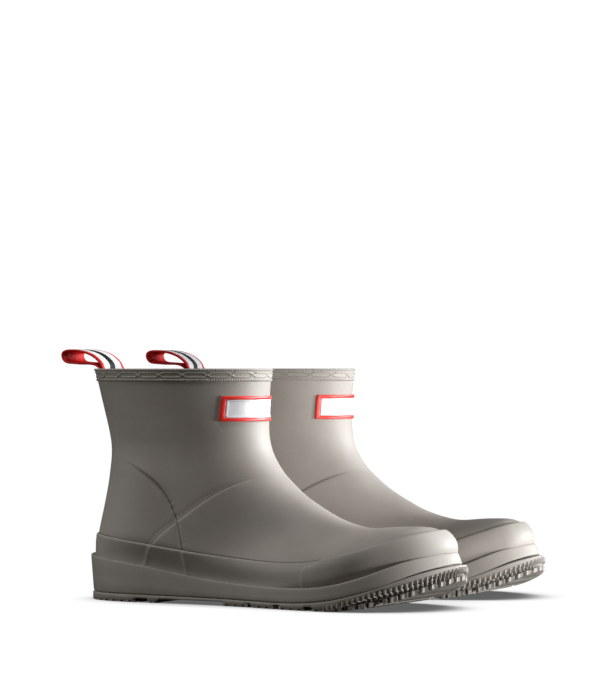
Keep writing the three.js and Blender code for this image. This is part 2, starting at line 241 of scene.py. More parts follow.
def linear(colour):
    """An sRGB hex colour as linear red, green, blue and alpha."""
    parts = [int(colour[i:i + 2], 16) / 255 for i in (1, 3, 5)]
    return [c / 12.92 if c <= 0.04045 else ((c + 0.055) / 1.055) ** 2.4 for c in parts] + [1.0]


def new_material(name):
    material = bpy.data.materials.new(name)
    material.use_nodes = True
    return material, material.node_tree.nodes["Principled BSDF"]


def add(material, kind, inputs=None, **settings):
    """Adds a node with its settings; an input is a value, or another node's socket to link."""
    made = material.node_tree.nodes.new(kind)
    for key, value in settings.items():
        setattr(made, key, value)
    for key, value in (inputs or {}).items():
        link(material, value, made.inputs[key])
    return made


def link(material, value, socket):
    if isinstance(value, bpy.types.NodeSocket):
        material.node_tree.links.new(value, socket)
    else:
        socket.default_value = value


def shade_between(material, factor, low, high):
    """A colour ramp of two hex colours."""
    ramp = add(material, "ShaderNodeMix", {"Factor": factor}, data_type="RGBA")
    ramp.inputs["A"].default_value, ramp.inputs["B"].default_value = linear(low), linear(high)
    return ramp.outputs["Result"]


def ranged(material, value, low, high, to_low=0.0, to_high=1.0):
    """A smooth change from one value to another as the input goes from low to high."""
    return add(material, "ShaderNodeMapRange", {
        "Value": value, "From Min": low, "From Max": high, "To Min": to_low, "To Max": to_high},
        interpolation_type="SMOOTHSTEP").outputs["Result"]


def rubber(name, pale, dark, grain=0.35, rough=0.55):
    """Matte vulcanised rubber from a fine-blasted mould: a faint bloom and a grain of about a third of
    a millimetre, drawn twice as coarse so that it shows."""
    material, skin = new_material(name)
    place = add(material, "ShaderNodeTexCoord").outputs["Object"]
    bloom = add(material, "ShaderNodeTexNoise", {
        "Vector": place, "Scale": 28.0, "Detail": 5.0, "Roughness": 0.6})
    specks = add(material, "ShaderNodeTexNoise", {"Vector": place, "Scale": 900.0, "Detail": 2.0})
    skin_colour = shade_between(material, ranged(material, bloom.outputs["Fac"], 0.3, 0.7), dark, pale)
    fine = add(material, "ShaderNodeMix", {
        "Factor": 0.12, "A": skin_colour, "B": specks.outputs["Color"]},
        data_type="RGBA", blend_type="SOFT_LIGHT")
    link(material, fine.outputs["Result"], skin.inputs["Base Color"])
    link(material, ranged(material, bloom.outputs["Fac"], 0.25, 0.75, rough - 0.05, rough + 0.07),
         skin.inputs["Roughness"])
    skin.inputs["IOR"].default_value = 1.52
    skin.inputs["Specular IOR Level"].default_value = 0.35
    bump = add(material, "ShaderNodeBump", {
        "Height": specks.outputs["Fac"], "Strength": grain, "Distance": 0.00012})
    link(material, bump.outputs["Normal"], skin.inputs["Normal"])
    return material, skin, fine, bump


mounts = {mount["name"]: mount for mount in frame["record"]["mounts"]}


def standing(side):
    """Where a boot stands, from its own frame: its heel and ball rest on the floor at the mounts."""
    heel, ball = (Vector(mounts[f"{side}_{end}_rest"]["pos_m"]) for end in ("heel", "ball"))
    turn = Matrix.Rotation(math.atan2(ball.y - heel.y, ball.x - heel.x), 4, "Z")
    return Matrix.Translation(heel) @ turn @ Matrix.Translation((HEEL_REST, 0, -TREAD_FLOOR))


def pair(piece, nodes, material):
    """Turns a piece made in the boot's own frame into the right boot's and its mirror image."""
    piece.data.materials.clear()
    piece.data.materials.append(material)
    made = {}
    for side in ("right", "left"):
        copy = piece.copy()
        copy.data = piece.data.copy()
        copy.name = copy.data.name = f"{side}_{piece.name}"
        bpy.context.collection.objects.link(copy)
        if side == "left":
            copy.data.transform(Matrix.Diagonal((1, -1, 1, 1)))
            copy.data.flip_normals()
        copy.data.transform(standing(side))
        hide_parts(*[f"{side}_{node}" for node in nodes])
        made[side] = copy
    bpy.data.objects.remove(piece)
    return made


def ride_both(made):
    for side, copy in made.items():
        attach(copy, f"{side}_boot")


turns = np.linspace(0, 2 * np.pi, ROUND)
outside_rows = np.linspace(TOE_TIP, 0, ROWS)
heel_line = drawn(HEEL_SEAM, 70)
vamp_line = drawn(VAMP_SEAM, 70)
bare = sock(outside_rows, turns)
from_heel = beyond(heel_line, bare)
from_vamp = -beyond(vamp_line, bare)
height = bare[..., 2]
from_rand = height - level_of(RAND_TOP, bare[..., 0])
# A sheet is thickest at its edge and thins away from it, and a shallow groove runs at the edge's foot.
relief = SHEET * (1 - step(height, 88, 112)) * (1 - step(bare[..., 0], 70, 105))
for away, fade_low, fade_high, thins_over, groove in (
        (from_heel, 80, 100, 30, 0.3), (from_vamp, 79, 90, 34, 0.25)):
    fade = 1 - step(height, fade_low, fade_high)
    sheet = SEAM_STEP * step(away, -0.3, 0.7) * np.exp(-(np.maximum(away, 0) / thins_over) ** 2)
    relief = relief + fade * (sheet - groove * np.exp(-((away + 1.4) / GROOVE) ** 2))
outside = sock(outside_rows, turns, relief)


def drawn_in(points):
    """Pulls the foot's sides in at the waist, so that the sole's ledge stands clear of the rand."""
    x, y, z = (points[..., k].copy() for k in range(3))
    outer_edge = [p for p in SOLE if p[1] < -20]
    inner_edge = [p for p in SOLE if p[1] > 19][::-1]
    limit = np.where(y < 0, -level_of(outer_edge, x), level_of(inner_edge, x)) - EDGE_CLEAR
    over = np.abs(y) - limit
    over = (over + np.sqrt(over ** 2 + 0.6)) / 2
    low = 1 - step(z, level_of(LEDGE, x) + 1, level_of(LEDGE, x) + 20)
    along = step(x, -128, -105) * (1 - step(x, 95, 115))
    points[..., 1] -= np.sign(y) * np.minimum(over, np.abs(y) * 0.4) * low * along
    # The back of the heel stays inside the ledge too.
    points[..., 0] += 0.085 * np.maximum(-100 - x, 0) * np.exp(-((z - 30) / 13) ** 2)
    return points


outside = drawn_in(outside)
skin_faces = [(i * ROUND + j, i * ROUND + j + 1, (i + 1) * ROUND + j + 1, (i + 1) * ROUND + j)
              for i in range(ROWS - 1) for j in range(ROUND - 1)]


def tree_of(points):
    return BVHTree.FromPolygons([Vector(p) for p in points.reshape(-1, 3)], skin_faces)


skin_tree = tree_of(outside)

# Over the rounded rim and down inside, where the wall needs fewer rows because the lining covers it.
rim_middle = sock([0.0], turns, -WALL / 2)
rim_out = sock([0.0], turns)[0] - rim_middle[0]
rim = [rim_middle[0] + rim_out * math.cos(a) + np.array([0, 0, (math.sin(a) - 1) * WALL / 2])
       for a in np.linspace(0.35, math.pi - 0.35, RIM_ROWS)]
outside[-1, :, 2] -= WALL / 2
inside = drawn_in(sock(np.linspace(0, TOE_TIP, INSIDE_ROWS), turns, -WALL))
inside[0, :, 2] -= WALL / 2
far_away = np.full((RIM_ROWS + INSIDE_ROWS, ROUND), -99.0)     # no line is drawn inside
upper = lofted("moulded_upper", np.concatenate([outside, rim, inside]), marks={
    mark: np.concatenate([away, far_away]) for mark, away in (
        ("heel_seam", from_heel), ("vamp_seam", from_vamp), ("rand_edge", from_rand))})

upper_rubber, skin, fine, bump = rubber("matte_moulded_upper_rubber", "#9f9a93", "#98928b")
# Painted shade: a dark hairline of shadow is painted into the colour at the foot of each sheet's edge, fading
# at its upper end, and along the top of the rand; the same lines dip the surface as a bump.
lift = add(upper_rubber, "ShaderNodeSeparateXYZ", {
    "Vector": add(upper_rubber, "ShaderNodeTexCoord").outputs["Object"]}).outputs["Z"]
lines = []
for seam, middle, width, fade_low, fade_high, dark in (
        ("heel_seam", -0.2, 1.0, 0.080, 0.098, 1.0), ("vamp_seam", -0.15, 0.75, 0.078, 0.088, 0.75),
        ("rand_edge", 0.1, 0.55, 0.5, 0.6, 0.9)):
    away = add(upper_rubber, "ShaderNodeAttribute", attribute_name=seam).outputs["Fac"]
    off = add(upper_rubber, "ShaderNodeMath", {0: away, 1: middle}, operation="SUBTRACT").outputs["Value"]
    near = add(upper_rubber, "ShaderNodeMath", {0: off}, operation="ABSOLUTE").outputs["Value"]
    line = add(upper_rubber, "ShaderNodeMath", {
        0: ranged(upper_rubber, near, 0.08, width, dark, 0.0),
        1: ranged(upper_rubber, lift, fade_low, fade_high, 1.0, 0.0)}, operation="MULTIPLY")
    lines.append(line.outputs["Value"])
crease = lines[0]
for line in lines[1:]:
    crease = add(upper_rubber, "ShaderNodeMath", {0: crease, 1: line}, operation="MAXIMUM").outputs["Value"]
painted_crease_shade = add(upper_rubber, "ShaderNodeMath", {0: crease, 1: 0.75}, operation="MULTIPLY").outputs["Value"]
# Painted shade: along the crease lines the rubber's colour is darkened towards #4d4843.
shadowed = add(upper_rubber, "ShaderNodeMix", {
    "Factor": painted_crease_shade, "A": fine.outputs["Result"], "B": linear("#4d4843")}, data_type="RGBA")
link(upper_rubber, shadowed.outputs["Result"], skin.inputs["Base Color"])
dip = add(upper_rubber, "ShaderNodeBump", {
    "Height": crease, "Normal": bump.outputs["Normal"], "Strength": 0.6, "Distance": 0.0004}, invert=True)
link(upper_rubber, dip.outputs["Normal"], skin.inputs["Normal"])
ride_both(pair(upper, ["upper", "heel_counter", "vamp_panel"], upper_rubber))


# ---------- knitted lining ----------
# A thin polyester jersey tube that the rubber is laid up on, so it is bonded to the whole inside. Its
# ribs run down the shaft.

LINING, BOND = 0.9, 0.2
LINING_ROUND, BACK_ROWS, FACE_ROWS = 161, 50, 150       # the back is bonded and the face is seen
GIRTH, DEPTH = 352, 250
STITCH_WIDTH, STITCH_HEIGHT = 1.4, 0.55
turns = np.linspace(0, 2 * np.pi, LINING_ROUND)
lining_rows = np.concatenate([np.linspace(TOE_TIP, 0, BACK_ROWS), np.linspace(0, TOE_TIP, FACE_ROWS)])
lining_depth = np.repeat([-WALL - BOND, -WALL - BOND - LINING], [BACK_ROWS, FACE_ROWS])
lining_skin = drawn_in(sock(lining_rows, turns, np.repeat(lining_depth[:, None], LINING_ROUND, axis=1)))
lining_skin[BACK_ROWS - 1:BACK_ROWS + 1, :, 2] -= 1.6       # it ends just below the rim
across_mm, down_mm = np.meshgrid(np.linspace(0, GIRTH, LINING_ROUND), np.append(
    np.linspace(DEPTH, 0, BACK_ROWS), np.linspace(0, DEPTH, FACE_ROWS)))
lining = lofted("knit_lining", lining_skin, uv=np.stack([across_mm, down_mm], axis=-1))

knit, skin = new_material("polyester_jersey_knit")
# A dull, ribbed cloth: rows of V-shaped stitches, really 0.7 mm wide, drawn at 1.4 mm so that they show.
across = add(knit, "ShaderNodeSeparateXYZ", {"Vector": add(knit, "ShaderNodeTexCoord").outputs["UV"]})
wales = add(knit, "ShaderNodeMath", {
    0: across.outputs["X"], 1: STITCH_WIDTH}, operation="PINGPONG").outputs["Value"]
slanted = add(knit, "ShaderNodeMath", {0: wales, 1: across.outputs["Y"]}, operation="ADD").outputs["Value"]
courses = add(knit, "ShaderNodeMath", {
    0: slanted, 1: STITCH_HEIGHT}, operation="PINGPONG").outputs["Value"]
stitch = add(knit, "ShaderNodeMath", {0: courses, 1: wales}, operation="MULTIPLY").outputs["Value"]
link(knit, shade_between(knit, ranged(knit, stitch, 0.0, 0.6), "#2a2826", "#4b4845"), skin.inputs["Base Color"])
skin.inputs["Roughness"].default_value = 0.9
skin.inputs["Sheen Weight"].default_value = 0.25
bump = add(knit, "ShaderNodeBump", {"Height": stitch, "Strength": 0.7, "Distance": 0.0004})
link(knit, bump.outputs["Normal"], skin.inputs["Normal"])
ride_both(pair(lining, ["lining"], knit))


# ---------- collar band ----------
# A moulded rubber strip, 8.8 mm deep, rolled round the outside of the rim. It carries a serrated ridge
# along its top and its bottom, and a chain of long hexagons between them.

BAND_HEIGHT, BAND = 8.8, 1.0
BAND_ROUND, BAND_ROWS, BAND_EDGE = 1261, 44, 0.5
LINK_LENGTH, LINK_HEIGHT, TOOTH = 16.5, 3.1, 1.75
RIM_LEVEL, LEVELS = 160, 12     # the skin below the rim is sampled at this many sections
turns = np.linspace(0, 2 * np.pi, BAND_ROUND)
near_rim = sock(np.linspace(0, 0.5, LEVELS), turns)
around = np.append(0, np.cumsum(np.linalg.norm(np.diff(near_rim[0], axis=0), axis=1)))
outwards = sock([0.0], turns, 1.0)[0] - near_rim[0]
links, teeth = round(around[-1] / LINK_LENGTH), round(around[-1] / TOOTH)
along_link = around / around[-1] * links % 1
tooth = 0.5 + 0.5 * np.cos(2 * np.pi * teeth * around / around[-1])
# Each link's half height rises over its first fifth, stays level and falls over its last fifth.
half_link = LINK_HEIGHT / 2 * np.clip(np.minimum(along_link, 1 - along_link) / 0.17, 0, 1)
band_rows = []
for down in np.linspace(0.0, BAND_HEIGHT, BAND_ROWS):
    ridge = np.exp(-((down - 1.05) / 0.62) ** 4) + np.exp(-((down - BAND_HEIGHT + 0.95) / 0.62) ** 4)
    from_middle = abs(down - BAND_HEIGHT / 2)
    chain = np.exp(-((from_middle - half_link) / 0.4) ** 4) * 0.72
    edge = math.sqrt(max(0.0, 1 - (1 - min(down, BAND_HEIGHT - down, BAND_EDGE) / BAND_EDGE) ** 2))
    out = 0.1 + edge * (0.2 + np.maximum(ridge * (0.55 + 0.45 * tooth), chain) * (BAND - 0.3))
    level = np.array([np.interp(RIM_LEVEL - down, near_rim[::-1, j, 2], range(LEVELS - 1, -1, -1))
                      for j in range(BAND_ROUND)])
    low = np.minimum(level.astype(int), LEVELS - 2)
    part = (level - low)[:, None]
    here = near_rim[low, range(BAND_ROUND)] * (1 - part) + near_rim[low + 1, range(BAND_ROUND)] * part
    band_rows.append(here + outwards * out[:, None])
sunk = [row - outwards * 1.0 for row in (band_rows[-1], band_rows[0])]
band = lofted("collar_strip", np.array(band_rows + sunk + band_rows[:1]))
trim_rubber, *_ = rubber("matte_moulded_trim_rubber", "#a19c95", "#98938c", grain=0.45)
ride_both(pair(band, ["collar_band"], trim_rubber))


# ---------- foxing rand ----------
# A calendered rubber strip wrapped round the foot over the upper, from the sole's ledge to a line that
# rises at the heel and the toe. It is pressed on by hand, so it follows the sheets' edges below it.

RAND = 1.4


def strips(where, low, high, steps, sunk=0.6, thick=RAND, edge=1.0):
    """A strip on the foot's skin between two heights, for columns of a start point and a heading. Each
    column goes up inside the skin, over a rounded top edge and down the outside."""
    strip = []
    for column, (start_x, start_y, heading) in enumerate(where):
        full = thick if np.isscalar(thick) else thick[column]
        hits, normals = [], []
        for tilt in np.radians(np.arange(-34, 62, 1.6)):
            level = math.cos(tilt)
            way = Vector((math.cos(heading) * level, math.sin(heading) * level, math.sin(tilt)))
            hit, normal, _, _ = skin_tree.ray_cast(Vector((start_x, start_y, 24)), way)
            if hit is not None:
                hits.append(hit)
                normals.append(normal if normal.dot(way) > 0 else -normal)
        hits, normals = np.array(hits), np.array(normals)
        run = np.append(0, np.cumsum(np.linalg.norm(np.diff(hits, axis=0), axis=1)))
        top = np.interp(0, hits[:, 2] - high(hits[:, 0]), run)
        bottom = min(np.interp(0, hits[:, 2] - low(hits[:, 0]), run), top)
        rise = top - bottom
        round_off = min(edge, rise / 3)
        angles = np.linspace(0, np.pi / 2, 5)
        down = np.concatenate([[rise, 0], round_off * (1 - np.sin(angles)),
                               np.linspace(round_off, rise, steps)[1:], [rise]])
        down[2:7] = round_off * (1 - np.cos(angles))
        lip = min(edge, full)
        out = np.concatenate([
            [-sunk, -sunk], full - lip + lip * np.sin(angles), np.full(steps - 1, full), [-sunk]])
        out[2] = 0.05
        at = top - down
        point = np.stack([np.interp(at, run, hits[:, k]) for k in range(3)], axis=-1)
        normal = np.stack([np.interp(at, run, normals[:, k]) for k in range(3)], axis=-1)
        normal /= np.linalg.norm(normal, axis=-1, keepdims=True)
        strip.append(point + normal * out[:, None])
    return np.array(strip)


HEEL_X, TOE_X = -98.0, 78.0     # ends of the line down the middle of the foot that columns turn about
round_heel = [(HEEL_X, 0, a) for a in np.linspace(np.pi / 2, 3 * np.pi / 2, 111)[:-1]]
outer_side = [(x, 0, 3 * np.pi / 2) for x in np.linspace(HEEL_X, TOE_X, 151)[:-1]]
round_toe = [(TOE_X, 2, a) for a in np.linspace(-np.pi / 2, np.pi / 2, 131)[:-1]]
inner_side = [(x, 0, np.pi / 2) for x in np.linspace(TOE_X, HEEL_X, 151)]
all_round = round_heel + outer_side + round_toe + inner_side
rand_strip = strips(all_round, lambda x: level_of(LEDGE, x) - 0.4, lambda x: level_of(RAND_TOP, x), 22)
# The sheets' edges below press through it as soft ridges.
ridges = sum(0.5 * np.exp(-(beyond(line, rand_strip) / 1.3) ** 2) for line in (heel_line, vamp_line))
rand_strip[..., 1] += np.sign(rand_strip[..., 1]) * ridges * step(np.abs(rand_strip[..., 1]), 10, 20)
rand = lofted("foxing_rand", rand_strip)
ride_both(pair(rand, ["rand"], trim_rubber))


# ---------- toe cap ----------
# A second, thicker layer of abrasion-resistant rubber over the rand round the toe. Its ends sweep down
# to the ledge in an arc.

CAP = 2.3
CAP_REAR = [(41, 10), (44, 22), (53, 31), (66, 39)]
CAP_START = 43
cap_where = [c for c in outer_side + round_toe + inner_side if c[0] > CAP_START]
from_end = np.minimum(np.arange(len(cap_where)), np.arange(len(cap_where))[::-1])
cap_thick = CAP - (CAP - RAND + 0.3) * (1 - np.minimum(from_end / 2.5, 1)) ** 2      # a rounded rear edge


def cap_top(x):
    """The cap's upper edge: just over the rand's, and down the rear arc behind its end."""
    over_rand = level_of(RAND_TOP, x) + 0.3
    return np.where(x < CAP_REAR[-1][0], np.minimum(level_of(CAP_REAR, x), over_rand), over_rand)


cap = lofted("toe_bumper", strips(
    cap_where, lambda x: level_of(LEDGE, x) - 0.4, cap_top, 24, sunk=0.3, thick=cap_thick, edge=1.2))
ride_both(pair(cap, ["toe_cap"], trim_rubber))


# ---------- midsole ----------
# A platform of compression-moulded rubber, cemented round the foot. Its ledge stands out past the rand
# with a rounded lip, and its wall leans back at the toe.

PARTING = [(-142, 7.5), (-60, 6.8), (0, 6.2), (40, 6.4), (75, 10.5), (105, 20), (125, 28), (142, 33)]
COLUMNS = 760


def sole_outline(columns):
    """The sole's plan as evenly spaced points, and the direction out from each."""
    wrapped = np.array(SOLE[-6:] + SOLE + SOLE[:7], float)
    knots = np.append(0, np.cumsum(np.linalg.norm(np.diff(wrapped, axis=0), axis=1) ** 0.5))
    line = spline(knots, wrapped, np.linspace(knots[6], knots[6 + len(SOLE)], 4000))
    run = np.append(0, np.cumsum(np.linalg.norm(np.diff(line, axis=0), axis=1)))
    even = np.linspace(0, run[-1], columns, endpoint=False)
    points = np.stack([np.interp(even, run, line[:, k]) for k in range(2)], axis=-1)
    along = np.roll(points, -1, axis=0) - np.roll(points, 1, axis=0)
    out = np.stack([along[:, 1], -along[:, 0]], axis=-1) / np.linalg.norm(along, axis=1)[:, None]
    # Out is the side away from the sole's middle, whichever way the outline runs.
    return points, out * np.sign(np.sum(out * points)), run[-1]


outline, outline_out, sole_length = sole_outline(COLUMNS)
ledge, parting = level_of(LEDGE, outline[:, 0]), level_of(PARTING, outline[:, 0])


def wall_row(inset, z, toe_lean=0.0, heel_lean=0.0):
    """One row of points round the sole, moved in by inset and leant with its height."""
    x, y = (outline - outline_out * np.asarray(inset, float)[..., None]).T
    toe, heel = step(outline[:, 0], 60, 136), step(-outline[:, 0], 90, 136)
    return np.stack([x - toe_lean * toe * (z - 24) - heel_lean * heel * (z - 6), y, z + 0 * x], axis=-1)


def closed_rows(rows):
    """Rows round the sole, closed into a ring and back onto the first row."""
    grid = np.array(rows + rows[:1])
    return np.concatenate([grid, grid[:, :1]], axis=1)


midsole_rows = [wall_row(inset, z, 0.4, 0.09) for inset, z in (
    (15, ledge - 0.5), (4, ledge - 0.45), (2.6, ledge - 0.35), (2.0, ledge), (1.7, ledge + 0.2),
    (1.3, ledge + 0.25), (0.95, ledge + 0.1), (0.7, ledge - 0.3), (0.6, ledge - 0.9),
    (0.6, ledge * 0.7 + parting * 0.3), (0.6, ledge * 0.35 + parting * 0.65), (0.6, parting + 1.0),
    (0.75, parting + 0.6), (1.3, parting + 0.3), (1.6, parting), (15, parting))]
midsole = lofted("platform_midsole", closed_rows(midsole_rows))
sole_rubber, *_ = rubber("matte_moulded_sole_rubber", "#9c9790", "#938e87", grain=0.5, rough=0.6)
ride_both(pair(midsole, ["midsole"], sole_rubber))


# ---------- outsole ----------
# Compression-moulded rubber cemented under the midsole. Its heel and forefoot carry rows of small
# slanted slabs, with a toothed edge, and gaps at the heel and under the arch. The toe lifts off the
# ground.

LUG, BEVEL = 2.8, 6.5
SPRING_START = 66                       # the toe lifts from here on
BARE = [(-90, -80), (-71, -19)]         # under the heel's gap and the arch
GROOVES = [(-1, 3), (23, 29), (49, 55), (75, 79), (98, 102)]
SLAB_PITCH = 3.5
EDGE_SLAB, TOE_SLAB, INNER_SLAB = (6.2, 2.9), (3.6, 1.7), (7.6, 2.1)


def ground(x):
    """Height of the tread's underside, which rises at the toe."""
    return 1.7 + 18 * (np.maximum(x - SPRING_START, 0) / 68) ** 1.9


def flat_under(x):
    """How much of the tread there is at x: none in the arch, the heel's gap and the grooves."""
    return min(1.0, *[max(0.0, max(a - x, x - b)) for a, b in BARE + GROOVES])


# The sides of the tread start just above the ground. At the toe the underside is bevelled up to a line
# half way up the outsole, so that the tread wraps round it.
cut = np.array([1 - flat_under(x) for x in outline[:, 0]])
bevel = step(outline[:, 0], 58, 100)
base = ground(outline[:, 0]) + 1.2 + cut * (LUG - 1.2)
side_end = np.minimum(base + BEVEL * bevel, parting - 1.3)
spine_in = np.stack([outline[:, 0] * 0.93, outline[:, 1] * 0.02], axis=-1)
floor_row = np.concatenate([spine_in, (ground(spine_in[:, 0]) + LUG)[:, None]], axis=1)
roof_row = np.concatenate([spine_in, (parting - 0.3)[:, None]], axis=1)
inside_edge = outline - outline_out * 9
outsole_rows = [roof_row] + [wall_row(inset, z) for inset, z in (
    (2.0, parting - 0.3), (0.4, parting - 0.3), (0.1, parting - 0.55), (0.0, parting - 1.0),
    (0.0, side_end + 0.2), (0.25, side_end), (1.5 + 6.5 * bevel, base),
    (9.0, ground(inside_edge[:, 0]) + LUG))] + [floor_row]
outsole = lofted("tread_outsole", closed_rows(outsole_rows))

# One slab of the tread, bevelled, is copied to every place.
bpy.ops.mesh.primitive_cube_add(size=1)
slab = bpy.context.object
bpy.ops.object.mode_set(mode="EDIT")
bpy.ops.mesh.select_all(action="SELECT")
bpy.ops.mesh.bevel(offset=0.09, segments=1)
bpy.ops.object.mode_set(mode="OBJECT")
slab_points = np.array([v.co for v in slab.data.vertices])
slab_faces = [list(face.vertices) for face in slab.data.polygons]
places = []
edge_points, edge_out, _ = sole_outline(round(sole_length / SLAB_PITCH))
for i, ((x, y), (out_x, out_y)) in enumerate(zip(edge_points, edge_out)):
    if flat_under(x) > 0:
        angle = math.atan2(out_y, out_x) + math.radians(18 if i % 2 else -18)
        places.append((x - out_x * 3.3, y - out_y * 3.3, angle, *EDGE_SLAB, 0.0))
    if x > SPRING_START:
        # Three rows of short slabs up the bevel at the toe, each row slanting the other way.
        rise = float(step(x, 58, 100))
        for row in range(3):
            inset = 1.0 + 2.5 * row
            up = BEVEL * rise * (1 - inset / 8.0)
            angle = math.atan2(out_y, out_x) + math.radians(40 if row % 2 else -40)
            places.append((x - out_x * inset, y - out_y * inset, angle, *TOE_SLAB, up))
inner_outline = outline - outline_out * 7.5
for row, x in enumerate(np.arange(-130, 130, 6.6)):
    near = np.abs(inner_outline[:, 0] - x) < 3.5
    if not near.any() or flat_under(x) <= 0:
        continue
    low, high = inner_outline[near, 1].min() + 1.5, inner_outline[near, 1].max() - 1.5
    for y in np.arange(low, high, SLAB_PITCH):
        places.append((x, y, math.radians(38 if row % 2 else -38), *INNER_SLAB, 0.0))
all_points, all_faces = [], []
for x, y, angle, long, wide, up in places:
    slope = (ground(x + 1) - ground(x - 1)) / 2
    local = slab_points * (long, wide, LUG + 0.5) + (0, 0, (LUG + 0.5) / 2)
    turned = np.stack([x + local[:, 0] * math.cos(angle) - local[:, 1] * math.sin(angle),
                       y + local[:, 0] * math.sin(angle) + local[:, 1] * math.cos(angle), local[:, 2]], axis=-1)
    turned[:, 2] += ground(x) + up + slope * (turned[:, 0] - x)
    first = len(all_points) * len(slab_points)
    all_points.append(turned)
    all_faces += [[first + v for v in face] for face in slab_faces]
tread_mesh = bpy.data.meshes.new("tread")
tread_points = np.concatenate(all_points)
tread_points[:, 2] = np.maximum(tread_points[:, 2], ground(0))
tread_mesh.from_pydata((tread_points / 1000).tolist(), [], all_faces)
bpy.data.objects.remove(slab)
tread = bpy.data.objects.new("tread", tread_mesh)
bpy.context.collection.objects.link(tread)
for piece in (tread, outsole):
    piece.select_set(True)
bpy.context.view_layer.objects.active = outsole
bpy.ops.object.join()
bpy.ops.object.select_all(action="DESELECT")
ride_both(pair(outsole, ["outsole"], sole_rubber))


# ---------- insole board and footbed ----------
# A cellulose fibreboard lies on the sole inside the foot. On it lies a removable foam footbed with a
# brushed textile top, cut to the last's outline and crowned at its edge.

BOARD_TOP, BED_TOP = 9.4, 13.9          # above the parting line
board, skin = new_material("cellulose_fibreboard")
# Pressed wood fibres: a dull buff sheet with a fine mottle.
place = add(board, "ShaderNodeTexCoord").outputs["Object"]
fibres = add(board, "ShaderNodeTexNoise", {"Vector": place, "Scale": 700.0, "Detail": 6.0})
link(board, shade_between(board, fibres.outputs["Fac"], "#6f6048", "#a08f74"), skin.inputs["Base Color"])
skin.inputs["Roughness"].default_value = 0.85
for side in ("right", "left"):
    node = frame["nodes"][f"{side}_insole_board"]
    node.data.materials.clear()
    node.data.materials.append(board)

inside_tree = tree_of(sock(outside_rows, np.linspace(0, 2 * np.pi, ROUND), -WALL - LINING - 0.5))


def bed_middle(lift_by):
    """The footbed's middle line, at a height above the parting line, for closing its two faces."""
    return [(x, y, float(level_of(PARTING, x)) + lift_by) for x, y, _ in all_round]


bed_rows = [bed_middle(BOARD_TOP)]
for lift_by, inset in ((BOARD_TOP, 5.0), (BOARD_TOP, 0.6), (10.2, 0.1), (12.8, 0.0), (13.6, 0.5),
                       (BED_TOP, 1.6), (BED_TOP, 4.0), (13.8, 12.0)):
    row = []
    for start_x, start_y, heading in all_round:
        way = Vector((math.cos(heading), math.sin(heading), 0))
        z = 20.0
        for _ in range(3):
            hit = inside_tree.ray_cast(Vector((start_x, start_y, z)), way)[0]
            z = float(level_of(PARTING, hit.x)) + lift_by
        row.append((hit.x - way.x * inset, hit.y - way.y * inset, z))
    bed_rows.append(row)
bed_rows.append(bed_middle(13.7))
footbed = lofted("foam_footbed", np.array(bed_rows))
brushed, skin = new_material("brushed_textile_on_foam")
# Short brushed fibres: a soft, dull top with a fine nap, worn unevenly.
place = add(brushed, "ShaderNodeTexCoord").outputs["Object"]
nap = add(brushed, "ShaderNodeTexNoise", {"Vector": place, "Scale": 1400.0, "Detail": 4.0})
worn = add(brushed, "ShaderNodeTexNoise", {"Vector": place, "Scale": 35.0, "Detail": 3.0})
napped = add(brushed, "ShaderNodeMath", {0: nap.outputs["Fac"], 1: worn.outputs["Fac"]}, operation="MULTIPLY")
link(brushed, shade_between(brushed, ranged(brushed, napped.outputs["Value"], 0.12, 0.4), "#32302e", "#575350"),
     skin.inputs["Base Color"])
skin.inputs["Roughness"].default_value = 0.95
skin.inputs["Sheen Weight"].default_value = 0.35
bump = add(brushed, "ShaderNodeBump", {"Height": nap.outputs["Fac"], "Strength": 0.6, "Distance": 0.0003})
link(brushed, bump.outputs["Normal"], skin.inputs["Normal"])
beds = pair(footbed, ["footbed"], brushed)
ride_both(beds)


# ---------- badge ----------
# Two injection-moulded PVC pieces heat-bonded round the front of the shaft: a glossy red frame with
# bevelled edges, and a white plate set inside it. The plate is left plain.

BADGE_LOW, BADGE_HIGH, BADGE_OUTER, BADGE_INNER = 124.5, 141.5, -29.8, 27.6
BADGE_Y, BADGE_Z = (BADGE_INNER + BADGE_OUTER) / 2, (BADGE_LOW + BADGE_HIGH) / 2
# Cross-sections of the frame and the plate: inset from the badge's edge, and height off the shaft.
FRAME_PROFILE = [(0, -0.4), (0, 0.95), (0.1, 1.3), (0.35, 1.48), (1.1, 1.52), (1.85, 1.48), (2.05, 1.3),
                 (2.15, 0.9), (2.2, 0.2)]
PLATE_PROFILE = [(2.3, 0.2), (2.3, 0.75), (2.5, 1.0), (2.8, 1.12), (3.2, 1.05), (3.5, 0.85), (3.7, 0.8),
                 (6.0, 0.8)]


def on_shaft(y, z, out, end=1):
    """A point on the front of the shaft at y and z, or with end -1 on its back, moved outwards."""
    hit, normal, _, _ = skin_tree.ray_cast(Vector((end * 160, y, z)), Vector((-end, 0, 0)))
    return hit + (normal if normal.x * end > 0 else -normal) * out


def badge_loop(inset, out, flat=False):
    """A rounded rectangle round the badge at an inset; flat closes it onto its middle line."""
    half_y, half_z = (BADGE_INNER - BADGE_OUTER) / 2 - inset, (BADGE_HIGH - BADGE_LOW) / 2 - inset
    corner = max(0.15, 0.7 - inset * 0.25)
    corners = np.array([(1, -1), (1, 1), (-1, 1), (-1, -1), (1, -1)])
    loop = np.concatenate([np.linspace(start, end, count, endpoint=False)
                           for start, end, count in zip(corners, corners[1:], (18, 70, 18, 70))])
    row = []
    for y, z in (loop * (half_y, half_z)).tolist():
        over_y, over_z = abs(y) - (half_y - corner), abs(z) - (half_z - corner)
        if over_y > 0 and over_z > 0:
            far = math.hypot(over_y, over_z)
            pull = max(over_y, over_z) / far
            y = math.copysign(half_y - corner + over_y * pull, y)
            z = math.copysign(half_z - corner + over_z * pull, z)
        if flat:
            z = 0.0
            y = max(-half_y + half_z, min(half_y - half_z, y))
        row.append(on_shaft(BADGE_Y + y, BADGE_Z + z, out))
    return row + row[:1]


